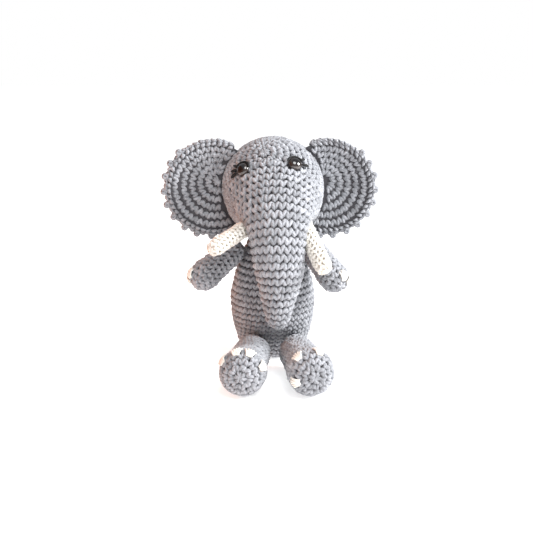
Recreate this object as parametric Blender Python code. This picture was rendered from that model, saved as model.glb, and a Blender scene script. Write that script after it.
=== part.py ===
"""Seated crocheted elephant: yarn covers, fibre filling, plastic eyes, embroidered nails and lashes.

Lengths are in millimetres and become metres in the meshes. +Z is up, the toy looks along -Y and its
left side is +X. Soft covers are shells with one opening, and the filling inside each is a separate solid.
"""

import math

import bmesh
import bpy
import numpy as np
from mathutils import Matrix, Vector
from mathutils.bvhtree import BVHTree

MM = 0.001
ORIGIN = (2.48, 19.07, 0.0)  # puts the origin under the middle of the toy's outline
WALL = 3.0  # crochet thickness of a cover
LOOSE = 0.4  # clearance between a cover and what is inside or beside it

# ---- torso: level rings as (height, front y, back y, half width)
TORSO = [(0.0, 8.0, 31.0, 13.5), (3.5, 2.5, 34.5, 20.5), (10.0, -2.5, 36.5, 26.0),
         (18.0, -8.5, 37.0, 29.0), (27.0, -19.0, 36.8, 30.8), (38.0, -29.2, 36.0, 32.6),
         (54.0, -33.6, 34.2, 33.6), (66.0, -32.2, 32.4, 32.2), (78.0, -28.8, 29.0, 28.8),
         (89.0, -24.6, 24.8, 24.6), (97.0, -21.2, 21.4, 21.2), (102.2, -19.2, 19.2, 19.2)]
NECK_R, NECK_Z, NECK_TUBE = 18.6, 104.7, 1.85

# ---- head: a ball that runs on into the trunk, as (x, front y, front z, back y, back z, half width)
HEAD_C, HEAD_R, HEAD_TILT = (0.0, 0.0, 142.7), 39.7, 25.0
BACK_HOLE = 11.0  # half angle of the closing hole at the back of the head
FACE = [(0.8, -34.0, 165.6, -4.0, 103.4, 36.2), (1.3, -43.0, 156.6, -14.0, 106.2, 32.6),
        (1.9, -52.0, 146.5, -24.0, 110.0, 28.6), (2.5, -60.0, 136.0, -32.5, 111.2, 24.9),
        (3.0, -67.0, 125.0, -38.6, 107.8, 22.0), (3.4, -72.0, 113.5, -41.8, 101.0, 20.2),
        (3.8, -74.5, 101.5, -42.6, 93.4, 19.2), (4.3, -74.0, 89.5, -41.6, 85.0, 17.8),
        (4.4, -71.5, 78.0, -40.2, 77.0, 15.6), (4.2, -68.4, 67.0, -40.4, 69.0, 13.2),
        (3.8, -65.2, 57.0, -41.6, 60.8, 10.8), (3.5, -61.8, 49.5, -43.0, 53.6, 8.9),
        (3.4, -57.6, 44.2, -46.0, 47.5, 6.0)]
TRUNK_END = (3.4, -51.4, 42.7)

# ---- ears: round cupped panels cut to the ball of the head
EAR_C = {"left": (41.5, 0.5, 143.4), "right": (-46.5, 0.5, 142.8)}
EAR_R, EAR_THICK, EAR_CUP = 32.4, 4.2, 9.0
EDGE_R, EDGE_TUBE, PICOTS, PICOT_RISE = 35.2, 2.3, 10, 2.8
EAR_ROOM, EAR_HINGE_Y = 1.5, 2.5  # room between ear and head to fold in, and how far back the fold lies

# ---- face pieces
EYE_DIR = {"left": (15.6, -29.8, 21.2), "right": (-21.9, -28.3, 17.2)}
EYE_DOME, EYE_RISE, EYE_POST = 4.9, 3.4, 1.5
TUSK = {"left": ((22.5, -37.0, 120.0), (36.0, -68.0, 95.2), 5.7),
        "right": ((-17.5, -37.0, 119.5), (-42.2, -67.0, 108.4), 5.3)}

# ---- limbs: pivot, direction, then profile as (distance along, radius)
ARM = {"left": ((31.9, -10.4, 93.5), (13.0, -23.2, -13.2)),
       "right": ((-31.9, -10.4, 93.5), (-19.0, -19.8, -13.0))}
ARM_LINE = [(-9.6, 0.0), (-8.9, 3.6), (-6.4, 7.2), (-2.4, 9.5), (3.0, 10.2), (14.0, 10.3), (24.0, 10.9),
            (32.0, 11.6), (38.0, 10.2), (42.2, 6.8), (44.2, 3.0), (44.6, 0.0)]
LEG = {"left": ((19.0, -25.0, 15.2), (27.9, -80.0, 17.4)),
       "right": ((-16.0, -25.0, 15.2), (-22.6, -80.0, 17.4))}
LEG_LINE = [(-13.4, 0.0), (-12.4, 5.0), (-9.0, 9.9), (-3.6, 13.0), (3.0, 14.1), (18.0, 14.3), (32.0, 14.9),
            (44.0, 16.5), (54.0, 17.2), (61.0, 15.4), (65.6, 11.2), (67.8, 5.6), (68.3, 0.0)]
# toenails as (distance of the tip along the leg, angle about it, length, width), 90 degrees is up
TOES = {"left": [(60.5, 128.0, 9.0, 7.0), (60.5, 72.0, 9.0, 7.0), (65.5, 196.0, 8.0, 6.4)],
        "right": [(60.5, 148.0, 9.0, 7.0), (61.0, 104.0, 9.0, 7.0), (61.0, 70.0, 9.0, 7.0), (62.0, 24.0, 8.5, 6.6)]}
FINGERS = {"left": [(43.0, 80.0, 7.0, 5.4), (43.0, 25.0, 7.0, 5.4)],
           "right": [(43.0, 120.0, 7.0, 5.4), (43.0, 175.0, 7.0, 5.4)]}
TAIL_ROOT, TAIL_LINE = (0.0, 37.6, 36.0), [(0.0, 0.0, 0.0), (0.0, 6.0, -2.0), (0.0, 10.5, -9.0), (0.0, 12.5, -18.0)]
TAIL_R, TUFT_LEN = 2.6, 11.0

SHAPES = bpy.data.collections.new("crocheted_elephant")
CUTTERS = bpy.data.collections.new("crocheted_elephant_cutters")
COLOURS = {"grey_yarn": (0.33, 0.34, 0.37, 1), "cream_yarn": (0.82, 0.76, 0.65, 1),
           "fibrefill": (0.9, 0.9, 0.88, 1), "eye_plastic": (0.07, 0.03, 0.015, 1),
           "black_thread": (0.02, 0.02, 0.02, 1), "washer_plastic": (0.8, 0.8, 0.78, 1)}


def material(name, roughness):
    made = bpy.data.materials.new(name)
    made.use_nodes = True
    shader = made.node_tree.nodes["Principled BSDF"]
    shader.inputs["Base Color"].default_value = COLOURS[name]
    shader.inputs["Roughness"].default_value = roughness
    return made


def spline(points, count):
    """Points spaced evenly along a smooth curve through the given ones."""
    p = np.asarray(points, float)
    ext = np.vstack([2 * p[0] - p[1], p, 2 * p[-1] - p[-2]])
    t = np.linspace(0, 1, 24, endpoint=False)[:, None]
    runs = []
    for a, b, c, d in zip(ext, ext[1:], ext[2:], ext[3:]):
        runs.append(0.5 * (2 * b + (c - a) * t + (2 * a - 5 * b + 4 * c - d) * t**2
                           + (3 * b - a - 3 * c + d) * t**3))
    fine = np.vstack([*runs, p[-1:]])
    run = np.concatenate([[0], np.cumsum(np.linalg.norm(np.diff(fine, axis=0), axis=1))])
    at = np.linspace(0, run[-1], count)
    return np.stack([np.interp(at, run, fine[:, k]) for k in range(fine.shape[1])], 1)


def turned(line, cols):
    """Rings about +Z for a profile of (height, radius)."""
    turn = np.linspace(0, 2 * math.pi, cols, endpoint=False)
    return np.stack([np.stack([r * np.cos(turn), r * np.sin(turn), np.full(cols, h)], 1) for h, r in line])


def oval(cx, front, back, half, cols):
    """A ring through a front and a back point (y, z) with the given half width, front first."""
    turn = np.linspace(0, 2 * math.pi, cols, endpoint=False)
    mid, arm = (np.asarray(front) + back) / 2, (np.asarray(front) - back) / 2
    return np.stack([cx + half * np.sin(turn), mid[0] + arm[0] * np.cos(turn), mid[1] + arm[1] * np.cos(turn)], 1)


def inset(grid, depth):
    """The grid of rings moved inwards along its own normals."""
    along, around = np.empty_like(grid), np.roll(grid, -1, 1) - np.roll(grid, 1, 1)
    along[1:-1], along[0], along[-1] = grid[2:] - grid[:-2], grid[1] - grid[0], grid[-1] - grid[-2]
    normal = np.cross(around, along)
    if np.sum(normal * (grid - grid.mean(1, keepdims=True))) < 0:
        normal = -normal
    size = np.linalg.norm(normal, axis=2, keepdims=True)
    normal = normal / np.maximum(size, 1e-12)
    for end, beside in ((0, 1), (-1, -2)):
        if np.ptp(grid[end], axis=0).max() < 1e-9:
            axis = normal[beside].mean(0)
            normal[end] = axis / np.linalg.norm(axis)
    return grid - depth * normal


def place(obj, slot, home=None, parent=None):
    obj.data.materials.append(MATERIALS[slot])
    SHAPES.objects.link(obj)
    obj.parent = parent or ROOT
    if home is not None:
        obj.matrix_local = home
    return obj


def solid(name, rings, smooth=True, caps=True):
    """One closed mesh skinned over rings; a ring of zero size becomes a pole."""
    bm = bmesh.new()
    loops = []
    for ring in rings:
        if np.ptp(ring, axis=0).max() < 1e-9:
            loops.append([bm.verts.new(Vector(ring[0]) * MM)])
        else:
            loops.append([bm.verts.new(Vector(p) * MM) for p in ring])
    count = max(len(loop) for loop in loops)
    for low, high in zip(loops, loops[1:]):
        for k in range(count):
            j = (k + 1) % count
            corners = [low[k % len(low)], low[j % len(low)], high[j % len(high)], high[k % len(high)]]
            unique = list(dict.fromkeys(corners))
            if len(unique) > 2:
                bm.faces.new(unique)
    if caps:
        for loop in (loops[0], loops[-1]):
            if len(loop) > 1:
                bm.faces.new(loop)
    bmesh.ops.recalc_face_normals(bm, faces=bm.faces[:])
    mesh = bpy.data.meshes.new(name)
    bm.to_mesh(mesh)
    bm.free()
    mesh.polygons.foreach_set("use_smooth", [smooth] * len(mesh.polygons))
    return bpy.data.objects.new(name, mesh)


def cover(name, grid):
    """A shell of WALL thickness over rings that start at a pole and stop at an opening."""
    inner = inset(grid, WALL)
    return solid(name, [*grid, *inner[::-1]], caps=False)


def filling(name, grid, stop=1):
    """The filling of a cover: the same rings inset past the wall, capped short of the opening."""
    return solid(name, inset(grid, WALL + LOOSE)[: len(grid) - stop])


def frame_along(origin, direction):
    """A frame whose +Z runs along direction and whose +Y is as near to world up as it can be."""
    z = Vector(direction).normalized()
    x = Vector((0, 0, 1)).cross(z)
    x = x.normalized() if x.length > 1e-6 else Vector((1, 0, 0))
    y = z.cross(x)
    return Matrix.Translation(Vector(origin) * MM) @ Matrix((x, y, z)).transposed().to_4x4()


def cut(obj, cutter):
    step = obj.modifiers.new("cut", "BOOLEAN")
    step.operation, step.solver, step.object = "DIFFERENCE", "EXACT", cutter


def tool(obj, home=None, parent=None):
    CUTTERS.objects.link(obj)
    obj.parent = parent or ROOT
    if home is not None:
        obj.matrix_local = home
    obj.hide_render, obj.display_type = True, "WIRE"
    return obj


def cord(name, points, radius, cyclic=False):
    """A thread along points, round in section with flat ends."""
    curve = bpy.data.curves.new(name, "CURVE")
    curve.dimensions, curve.bevel_depth, curve.bevel_resolution, curve.use_fill_caps = "3D", radius * MM, 2, True
    run = curve.splines.new("POLY")
    run.points.add(len(points) - 1)
    for point, at in zip(run.points, points):
        point.co = (*(Vector(at) * MM), 1.0)
    run.use_cyclic_u = cyclic
    run.use_smooth = True
    return bpy.data.objects.new(name, curve)


def nail(name, line, tip, angle, length, width, home):
    """A fan of embroidery lying on a limb: narrow at its tip, spread towards the limb's root."""
    fine = spline(line, 240)
    slope = np.gradient(fine, axis=0)
    slope /= np.linalg.norm(slope, axis=1, keepdims=True)
    run = np.concatenate([[0], np.cumsum(np.linalg.norm(np.diff(fine, axis=0), axis=1))])
    end = np.interp(tip, fine[:, 0], run)
    rings = []
    for lift in (0.45, 1.5):
        outline = []
        for u, spread in ((0.0, 0.16), (0.3, 0.5), (0.65, 0.85), (0.9, 1.0), (1.0, 0.8)):
            for side in (-1.0, -0.34, 0.34, 1.0):
                s = end - u * length + 0.9 * side * side
                h, r = np.interp(s, run, fine[:, 0]), np.interp(s, run, fine[:, 1])
                dh, dr = np.interp(s, run, slope[:, 0]), np.interp(s, run, slope[:, 1])
                thin = lift - (0.5 * side * side if lift > 1 else 0.0)
                r, h = r + thin * dh, h - thin * dr
                turn = math.radians(angle) + side * spread * width / 2 / max(r, 4.0)
                outline.append((r * math.cos(turn), r * math.sin(turn), h))
        rings.append(outline)
    bm = bmesh.new()
    low, high = ([bm.verts.new(Vector(p) * MM) for p in ring] for ring in rings)
    for k in range(4):
        for j in range(3):
            a = 4 * k + j
            for side, order in ((low, (0, 1, 5, 4)), (high, (4, 5, 1, 0))):
                bm.faces.new([side[a + step] for step in order])
    rim = [0, 1, 2, 3, 7, 11, 15, 19, 18, 17, 16, 12, 8, 4]
    for a, b in zip(rim, rim[1:] + rim[:1]):
        bm.faces.new([low[a], low[b], high[b], high[a]])
    bmesh.ops.recalc_face_normals(bm, faces=bm.faces[:])
    mesh = bpy.data.meshes.new(name)
    bm.to_mesh(mesh)
    bm.free()
    mesh.polygons.foreach_set("use_smooth", [True] * len(mesh.polygons))
    return place(bpy.data.objects.new(name, mesh), "cream_yarn", home)


def torso():
    line = spline(TORSO[1:], 15)
    ring = [oval(0, (TORSO[0][1] + s, 0), (TORSO[0][2] - s, 0), TORSO[0][3] * f, 26)
            for s, f in ((11.5, 0.0), (0.0, 1.0))]
    rings = np.stack([*ring, *[oval(0, (f, h), (b, h), w, 26) for h, f, b, w in line]])
    place(cover("body_cover", rings), "grey_yarn")
    place(filling("body_filling", rings, stop=3), "fibrefill")
    turn = np.linspace(0, 2 * math.pi, 28, endpoint=False)
    neck = [(NECK_R * math.cos(t), NECK_R * math.sin(t), NECK_Z) for t in turn]
    place(cord("neck_seam", neck, NECK_TUBE, cyclic=True), "grey_yarn")


def head_rings(cols=26):
    tilt = math.radians(HEAD_TILT)
    axis = np.array([0, -math.cos(tilt), -math.sin(tilt)])
    up = np.array([0, -math.sin(tilt), math.cos(tilt)])
    rings = []
    for a in np.radians(np.linspace(BACK_HOLE, 104.0, 9)):
        mid = np.array(HEAD_C) - axis * HEAD_R * math.cos(a)
        reach = HEAD_R * math.sin(a)
        rings.append(oval(0.3 * (a > 1.7), (mid + up * reach)[1:], (mid - up * reach)[1:], reach, cols))
    last = rings[-1]
    start = (0.3, *last[0][1:], *last[cols // 2][1:], HEAD_R * math.sin(math.radians(104.0)))
    for x, fy, fz, by, bz, half in spline([start, *FACE], 18)[1:]:
        rings.append(oval(x, (fy, fz), (by, bz), half, cols))
    rings.append(np.repeat([TRUNK_END], cols, 0))
    return np.stack(rings[::-1])


def head():
    rings = head_rings()
    shell = place(cover("head_cover", rings), "grey_yarn")
    stuffing = place(filling("head_filling", rings, stop=1), "fibrefill")
    grown = tool(solid("head_form", inset(rings, -LOOSE)))
    skin = BVHTree.FromPolygons([v.co for v in grown.data.vertices], [f.vertices[:] for f in grown.data.polygons])
    for side, direction in EYE_DIR.items():
        away = Vector(direction).normalized()
        spot, normal = skin.ray_cast((Vector(HEAD_C) + away * 80) * MM, -away)[:2]
        home = frame_along(spot / MM - normal * HEAD_R, normal)
        top = HEAD_R + 0.2
        dome = [(top - HEAD_R * (1 - math.cos(r / HEAD_R)) + EYE_RISE * math.cos(t), r)
                for t in np.linspace(0, math.pi / 2, 6) for r in [EYE_DOME * math.sin(t)]]
        line = [*dome, (top - 0.1, EYE_POST), (HEAD_R - 7.6, EYE_POST), (HEAD_R - 8.2, 0.0)]
        line[0] = (line[0][0], 0.0)
        eye = place(solid("eye_" + side, turned(line, 20)), "eye_plastic", home)
        hole = tool(solid("eye_hole_" + side, turned([(HEAD_R - 5, 1.9), (HEAD_R + 2, 1.9)], 16)), home)
        pocket = tool(solid("eye_pocket_" + side, turned([(HEAD_R - 10.5, 7.0), (HEAD_R, 7.0)], 20)), home)
        cut(shell, hole)
        cut(stuffing, pocket)
        ring = [(HEAD_R - 4.9, 5.6), (HEAD_R - 6.2, 5.6), (HEAD_R - 6.2, 1.9), (HEAD_R - 4.9, 1.9)]
        washer = solid("eye_washer_" + side, turned(ring, 20), smooth=False, caps=False)
        bm = bmesh.new()
        bm.from_mesh(washer.data)
        rim = [e for e in bm.edges if e.is_boundary]
        bmesh.ops.bridge_loops(bm, edges=rim)
        bmesh.ops.recalc_face_normals(bm, faces=bm.faces[:])
        bm.to_mesh(washer.data)
        bm.free()
        place(washer, "washer_plastic", home)
        lashes(side, home, skin)
    return grown


def lashes(side, home, skin):
    """Black thread round each eye: a lid line above it and lashes at its outer corner."""
    out = 1 if side == "left" else -1

    def on_skin(x, y):
        spot, normal = skin.find_nearest(home @ (Vector((x, y, HEAD_R)) * MM))[:2]
        return (home.inverted() @ (spot + normal * 0.75 * MM)) / MM

    lid = [on_skin(5.9 * math.cos(t), 5.7 * math.sin(t)) for t in np.radians(np.linspace(20, 160, 9))]
    place(cord("eye_lid_" + side, lid, 0.5), "black_thread", home)
    fans = [(12, 6.9, 11.2), (-14, 6.9, 11.6), (-42, 6.9, 12.0)] if side == "right" else [
        (22, 6.9, 10.4), (-12, 6.9, 11.4)]
    for n, (angle, near, far) in enumerate(fans, 1):
        t = math.radians(angle if out > 0 else 180 - angle)
        line = [on_skin(d * math.cos(t), d * math.sin(t)) for d in np.linspace(near, far, 4)]
        place(cord(f"eye_lash_{side}_{n}", line, 0.45), "black_thread", home)


def ears():
    form = tool(solid("ear_form", inset(head_rings(), -EAR_ROOM)))
    for side, centre in EAR_C.items():
        out = 1 if side == "left" else -1
        pivot = bpy.data.objects.new("ear_hinge_" + side, None)
        SHAPES.objects.link(pivot)
        pivot.parent = ROOT
        hinge = Vector((out * (HEAD_R + 1.0), EAR_HINGE_Y, HEAD_C[2])) * MM
        pivot.location = hinge
        home = Matrix.Translation(Vector(centre) * MM - hinge)

        def cup(r, t):
            lean = max(0.0, r * math.cos(t) * out / EAR_R)
            return -EAR_CUP * (r / EAR_R) ** 2 * (0.45 + 0.55 * lean) + 2.0

        radii = np.linspace(0, EAR_R, 7)
        cols = 32
        turn = np.linspace(0, 2 * math.pi, cols, endpoint=False)
        faces = [[(r * math.cos(t), cup(r, t) + drop, r * math.sin(t)) for t in turn] for drop, line in
                 ((-EAR_THICK / 2, radii), (EAR_THICK / 2, radii[::-1])) for r in line]
        panel = place(solid("ear_panel_" + side, np.array(faces), caps=False), "grey_yarn", home, pivot)
        cut(panel, form)
        first, last = (110.0, -108.0) if out > 0 else (64.0, 296.0)
        line = []
        for f in np.linspace(0, 1, 73):
            t = math.radians(first + f * (last - first))
            bump = abs(math.sin(math.pi * PICOTS * (f - 0.26) / 0.72)) if f > 0.26 and f < 0.98 else 0.0
            r = EDGE_R + PICOT_RISE * bump
            line.append((r * math.cos(t), cup(EAR_R, t) - 0.5 * bump, r * math.sin(t)))
        place(cord("ear_edging_" + side, line, EDGE_TUBE), "grey_yarn", home, pivot)


def tusks(form):
    for side, (root, tip, radius) in TUSK.items():
        axis = Vector(tip) - Vector(root)
        home, reach = frame_along(root, axis), axis.length
        line = spline([(reach + radius, 0.0), (reach + radius * 0.8, radius * 0.6), (reach, radius * 0.98),
                       (reach * 0.55, radius * 1.04), (0.0, radius)], 11)
        grid = turned(line, 18)
        thin = WALL * 0.7
        inner = inset(grid, thin)
        shell = solid("tusk_cover_" + side, [*grid, *inner[::-1]], caps=False)
        core = solid("tusk_filling_" + side, inset(grid, thin + LOOSE))
        for obj, slot in ((shell, "cream_yarn"), (core, "fibrefill")):
            place(obj, slot, home)
            cut(obj, form)


def limbs():
    for side in ("left", "right"):
        pivot, toward = ARM[side]
        home = frame_along(pivot, toward)
        limb("arm", side, ARM_LINE, home, 18, 12)
        for n, (tip, angle, length, width) in enumerate(FINGERS[side], 1):
            nail(f"arm_nail_{side}_{n}", ARM_LINE, tip, angle, length, width, home)
        hip, foot = LEG[side]
        home = frame_along(hip, Vector(foot) - Vector(hip))
        limb("leg", side, LEG_LINE, home, 20, 14)
        for n, (tip, angle, length, width) in enumerate(TOES[side], 1):
            nail(f"leg_nail_{side}_{n}", LEG_LINE, tip, angle, length, width, home)


def limb(kind, side, line, home, cols, rows):
    """A stuffed tube worked from its closed tip to a small hole at the root, where it is sewn on."""
    grid = turned(spline(line, rows + 1)[1:][::-1], cols)
    place(cover(f"{kind}_cover_{side}", grid), "grey_yarn", home)
    place(filling(f"{kind}_filling_{side}", grid, stop=1), "fibrefill", home)


def tail():
    pivot = bpy.data.objects.new("tail_hinge", None)
    SHAPES.objects.link(pivot)
    pivot.parent = ROOT
    pivot.location = Vector(TAIL_ROOT) * MM
    line = spline(TAIL_LINE, 12)
    place(cord("tail_cord", line, TAIL_R), "grey_yarn", None, pivot)
    end = Vector(line[-1])
    way = (end - Vector(line[-2])).normalized()
    home = frame_along(end + way * LOOSE, way)
    shape = [(0.0, 0.0), (0.0, 1.6), (3.0, 2.6), (TUFT_LEN * 0.6, 3.4), (TUFT_LEN, 1.8), (TUFT_LEN, 0.0)]
    place(solid("tail_tuft", turned(shape, 14)), "grey_yarn", home, pivot)


for old in list(bpy.data.objects):
    bpy.data.objects.remove(old, do_unlink=True)
for collection in (SHAPES, CUTTERS):
    bpy.context.scene.collection.children.link(collection)
MATERIALS = {name: material(name, 0.25 if name == "eye_plastic" else 0.9) for name in COLOURS}
ROOT = bpy.data.objects.new("elephant_origin", None)
SHAPES.objects.link(ROOT)
ROOT.location = Vector(ORIGIN) * MM
torso()
head_form = head()
ears()
tusks(head_form)
limbs()
tail()
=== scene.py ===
# %% [markdown]
# # Crocheted elephant
# A small stuffed toy worked in single crochet from grey worsted yarn, with cream tusks and nails,
# glossy eyes and black lashes. Every cover is worked in the round, so its stitches lie in rings.
# The hard frame is loaded first. Each part below is then laid over its node, stitch by stitch.

import math

import bmesh
import bpy
import numpy as np
from mathutils import Matrix, Vector, noise
from mathutils.bvhtree import BVHTree


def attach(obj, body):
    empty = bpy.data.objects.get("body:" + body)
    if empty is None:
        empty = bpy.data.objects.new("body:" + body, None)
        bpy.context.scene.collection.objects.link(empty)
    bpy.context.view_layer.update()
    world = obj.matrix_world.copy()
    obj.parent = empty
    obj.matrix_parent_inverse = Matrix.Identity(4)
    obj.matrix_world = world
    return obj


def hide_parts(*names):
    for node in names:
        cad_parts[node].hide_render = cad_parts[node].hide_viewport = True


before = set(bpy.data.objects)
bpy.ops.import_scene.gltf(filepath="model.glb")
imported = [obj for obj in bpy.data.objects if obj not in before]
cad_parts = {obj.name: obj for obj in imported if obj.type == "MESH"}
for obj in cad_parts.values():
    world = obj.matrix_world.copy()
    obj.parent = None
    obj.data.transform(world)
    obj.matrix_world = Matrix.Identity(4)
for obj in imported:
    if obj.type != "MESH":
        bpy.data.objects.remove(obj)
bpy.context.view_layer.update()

# %% [markdown]
# ## Sizes
# These are the part's own shapes in millimetres. The toy looks along -Y and its left side is +X.
# The stitch sizes are what a 3.5 mm hook gives with this yarn: about 5 mm to a stitch and a
# round.

# %% Sizes
MM = 0.001
SIDES = ("left", "right")
ORIGIN = (2.48, 19.07, 0.0)  # where the shapes' own origin lies in the frame

# Torso rings: height, front, back, half width. The first is the edge of the flat seat.
TORSO = [(0.0, 8.0, 31.0, 13.5), (3.5, 2.5, 34.5, 20.5), (10.0, -2.5, 36.5, 26.0),
         (18.0, -8.5, 37.0, 29.0), (27.0, -19.0, 36.8, 30.8), (38.0, -29.2, 36.0, 32.6),
         (54.0, -33.6, 34.2, 33.6), (66.0, -32.2, 32.4, 32.2), (78.0, -28.8, 29.0, 28.8),
         (89.0, -24.6, 24.8, 24.6), (97.0, -21.2, 21.4, 21.2), (102.2, -19.2, 19.2, 19.2)]
SEAT = [(11.5, 0.0), (6.0, 0.5), (0.0, 1.0)]  # how far in each seat ring is, and its share of width
NECK_R, NECK_Z = 18.6, 104.7

HEAD_C, HEAD_R, HEAD_TILT = (0.0, 0.0, 142.7), 39.7, 25.0
CHEEK = 104.0  # degrees round the ball of the head, from the back, where the face's rings take over
FACE_SHIFT, SHIFT_FROM = 0.3, 1.7  # how far off centre the rings are, past this many radians
# Face and trunk rings: middle x, front y and z, back y and z, half width.
FACE = [(0.8, -34.0, 165.6, -4.0, 103.4, 36.2), (1.3, -43.0, 156.6, -14.0, 106.2, 32.6),
        (1.9, -52.0, 146.5, -24.0, 110.0, 28.6), (2.5, -60.0, 136.0, -32.5, 111.2, 24.9),
        (3.0, -67.0, 125.0, -38.6, 107.8, 22.0), (3.4, -72.0, 113.5, -41.8, 101.0, 20.2),
        (3.8, -74.5, 101.5, -42.6, 93.4, 19.2), (4.3, -74.0, 89.5, -41.6, 85.0, 17.8),
        (4.4, -71.5, 78.0, -40.2, 77.0, 15.6), (4.2, -68.4, 67.0, -40.4, 69.0, 13.2),
        (3.8, -65.2, 57.0, -41.6, 60.8, 10.8), (3.5, -61.8, 49.5, -43.0, 53.6, 8.9),
        (3.4, -57.6, 44.2, -46.0, 47.5, 6.0)]
TRUNK_END = (3.4, -51.4, 42.7)
CROWN = (-6.9, -24.7, 30.3)  # from the head's middle towards the small ring the crown starts from
BROW = 17.0  # how far forward of the head's middle the crown's rounds give way to the face's
BROW_LAP = 1.6  # how far the crown's rounds run on over the face's

EAR_C = {"left": (41.5, 0.5, 143.4), "right": (-46.5, 0.5, 142.8)}
EAR_START = {"left": (38.5, 148.5), "right": (-42.0, 148.5)}  # x and z of the rounds' first ring
EAR_R, EAR_CUP = 32.4, 9.0  # a panel's radius, and how far forward its rim comes
EAR_SET, PANEL_HALF = 2.0, 1.9  # how far back its middle is set, and half its thickness
EAR_ROUNDS, EAR_STITCH, EAR_CLEAR = 6, 4.6, 2.6  # stitches stay this clear of the ball of the head
BACKING_R, BACKING_CUT = EAR_R + 2.4, HEAD_R - 0.2  # the middle, painted in shade colour, runs under the rim and head
EDGE_R, PICOTS = 35.2, 10  # the rim's radius and how many knots it carries
RIM_SPAN = {"left": (110.0, -108.0), "right": (64.0, 296.0)}  # degrees from the start to the end
PICOTS_FROM, PICOTS_TO = 0.26, 0.98  # the share of the rim that carries picots

EYE_DIR = {"left": (15.6, -29.8, 21.2), "right": (-21.9, -28.3, 17.2)}
EYE_DOME, EYE_RISE, EYE_LIFT = 5.3, 3.3, 0.9  # the dome's radius and height, and its lift
EYE_CLEAR = 3.6  # no stitch's middle lies this near the middle of an eye
LID_ACROSS, LID_UP = 6.1, 5.7  # half the width and the height of a lid's arc
LID_LIFT, LASH_LIFT = 2.0, 1.9  # how far the threads' middles stand off the face
LASHES = {"left": [(22, 5.6, 10.4), (-12, 5.6, 11.4)],  # degrees above level, start, end
          "right": [(12, 5.6, 11.2), (-14, 5.6, 11.6), (-42, 5.8, 12.0)]}

# Tusks: root, tip, radius. Arms: pivot and direction. Legs: pivot and a point on the leg's axis.
TUSK = {"left": ((22.5, -37.0, 120.0), (36.0, -68.0, 95.2), 5.7),
        "right": ((-17.5, -37.0, 119.5), (-42.2, -67.0, 108.4), 5.3)}
ARM = {"left": ((31.9, -10.4, 93.5), (13.0, -23.2, -13.2)),
       "right": ((-31.9, -10.4, 93.5), (-19.0, -19.8, -13.0))}
LEG = {"left": ((19.0, -25.0, 15.2), (27.9, -80.0, 17.4)),
       "right": ((-16.0, -25.0, 15.2), (-22.6, -80.0, 17.4))}
# Limb profiles: distance along the axis from the pivot, radius.
ARM_LINE = [(-9.6, 0.0), (-8.9, 3.6), (-6.4, 7.2), (-2.4, 9.5), (3.0, 10.2), (14.0, 10.3),
            (24.0, 10.9), (32.0, 11.6), (38.0, 10.2), (42.2, 6.8), (44.2, 3.0), (44.6, 0.0)]
LEG_LINE = [(-13.4, 0.0), (-12.4, 5.0), (-9.0, 9.9), (-3.6, 13.0), (3.0, 14.1), (18.0, 14.3),
            (32.0, 14.9), (44.0, 16.5), (54.0, 17.2), (61.0, 15.4), (65.6, 11.2), (67.8, 5.6),
            (68.3, 0.0)]
# Nails: how far along the axis the tip is, degrees round it, length, width.
TOES = {"left": [(60.5, 128.0, 9.0, 7.0), (60.5, 72.0, 9.0, 7.0), (65.5, 196.0, 8.0, 6.4)],
        "right": [(60.5, 148.0, 9.0, 7.0), (61.0, 104.0, 9.0, 7.0), (61.0, 70.0, 9.0, 7.0),
                  (62.0, 24.0, 8.5, 6.6)]}
NAIL_SPREADS = (-1.0, -0.5, 0.0, 0.5, 1.0)  # a nail's five stitches, across its half width
FINGERS = {"left": [(43.0, 80.0, 7.0, 5.4), (43.0, 25.0, 7.0, 5.4)],
           "right": [(43.0, 120.0, 7.0, 5.4), (43.0, 175.0, 7.0, 5.4)]}
TAIL_ROOT = (0.0, 37.6, 36.0)
TAIL_LINE = [(0.0, 0.0, 0.0), (0.0, 6.0, -2.0), (0.0, 10.5, -9.0), (0.0, 12.5, -18.0)]

# Gauges: how far apart the rounds lie, and how wide a stitch is.
TORSO_GAUGE, TRUNK_GAUGE, CROWN_GAUGE = (5.2, 4.9), (5.3, 5.4), (5.1, 5.0)
ARM_GAUGE, LEG_GAUGE, TUSK_GAUGE = (4.9, 4.9), (5.2, 5.2), (3.7, 3.6)
FIRST_RING = 6  # stitches in the ring that every cover starts from
SINK = 0.3  # how deep a stitch's middle sits under the cover's outside, as a share of its width
LEAN = 0.12  # how far a stitch leans towards the way it is worked, for each unit of height
BACKING = 1.9  # how deep the backing, painted in shade colour as the fabric's shaded inside, sits under the outside
NARROWEST = 0.78  # the least that a stitch is squeezed to, as a share of its gauge
OVERLAP = (1.10, 1.14)  # how much wider and taller a stitch is than its place, so none stand apart
# Handwork: the spread of a stitch's turn in radians, of its place in widths, of size and of shade.
TURN_SPREAD, SLIDE_SPREAD, DEPTH_SPREAD, SIZE_SPREAD, TONE_SPREAD = 0.13, 0.02, 0.03, 0.05, 0.09

# %% [markdown]
# ## Yarn, thread, plastic and filling
# The yarn is a soft wool blend: matt, a little fuzzy at grazing light, and slightly uneven in
# shade from stitch to stitch. One helper adds the nodes of every material with their settings and
# links.


# %% Materials
def shade(code):
    """A linear colour from a six-digit sRGB code."""
    parts = [int(code[k:k + 2], 16) / 255 for k in (0, 2, 4)]
    return (*[c / 12.92 if c <= 0.04045 else ((c + 0.055) / 1.055) ** 2.4 for c in parts], 1.0)


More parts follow.
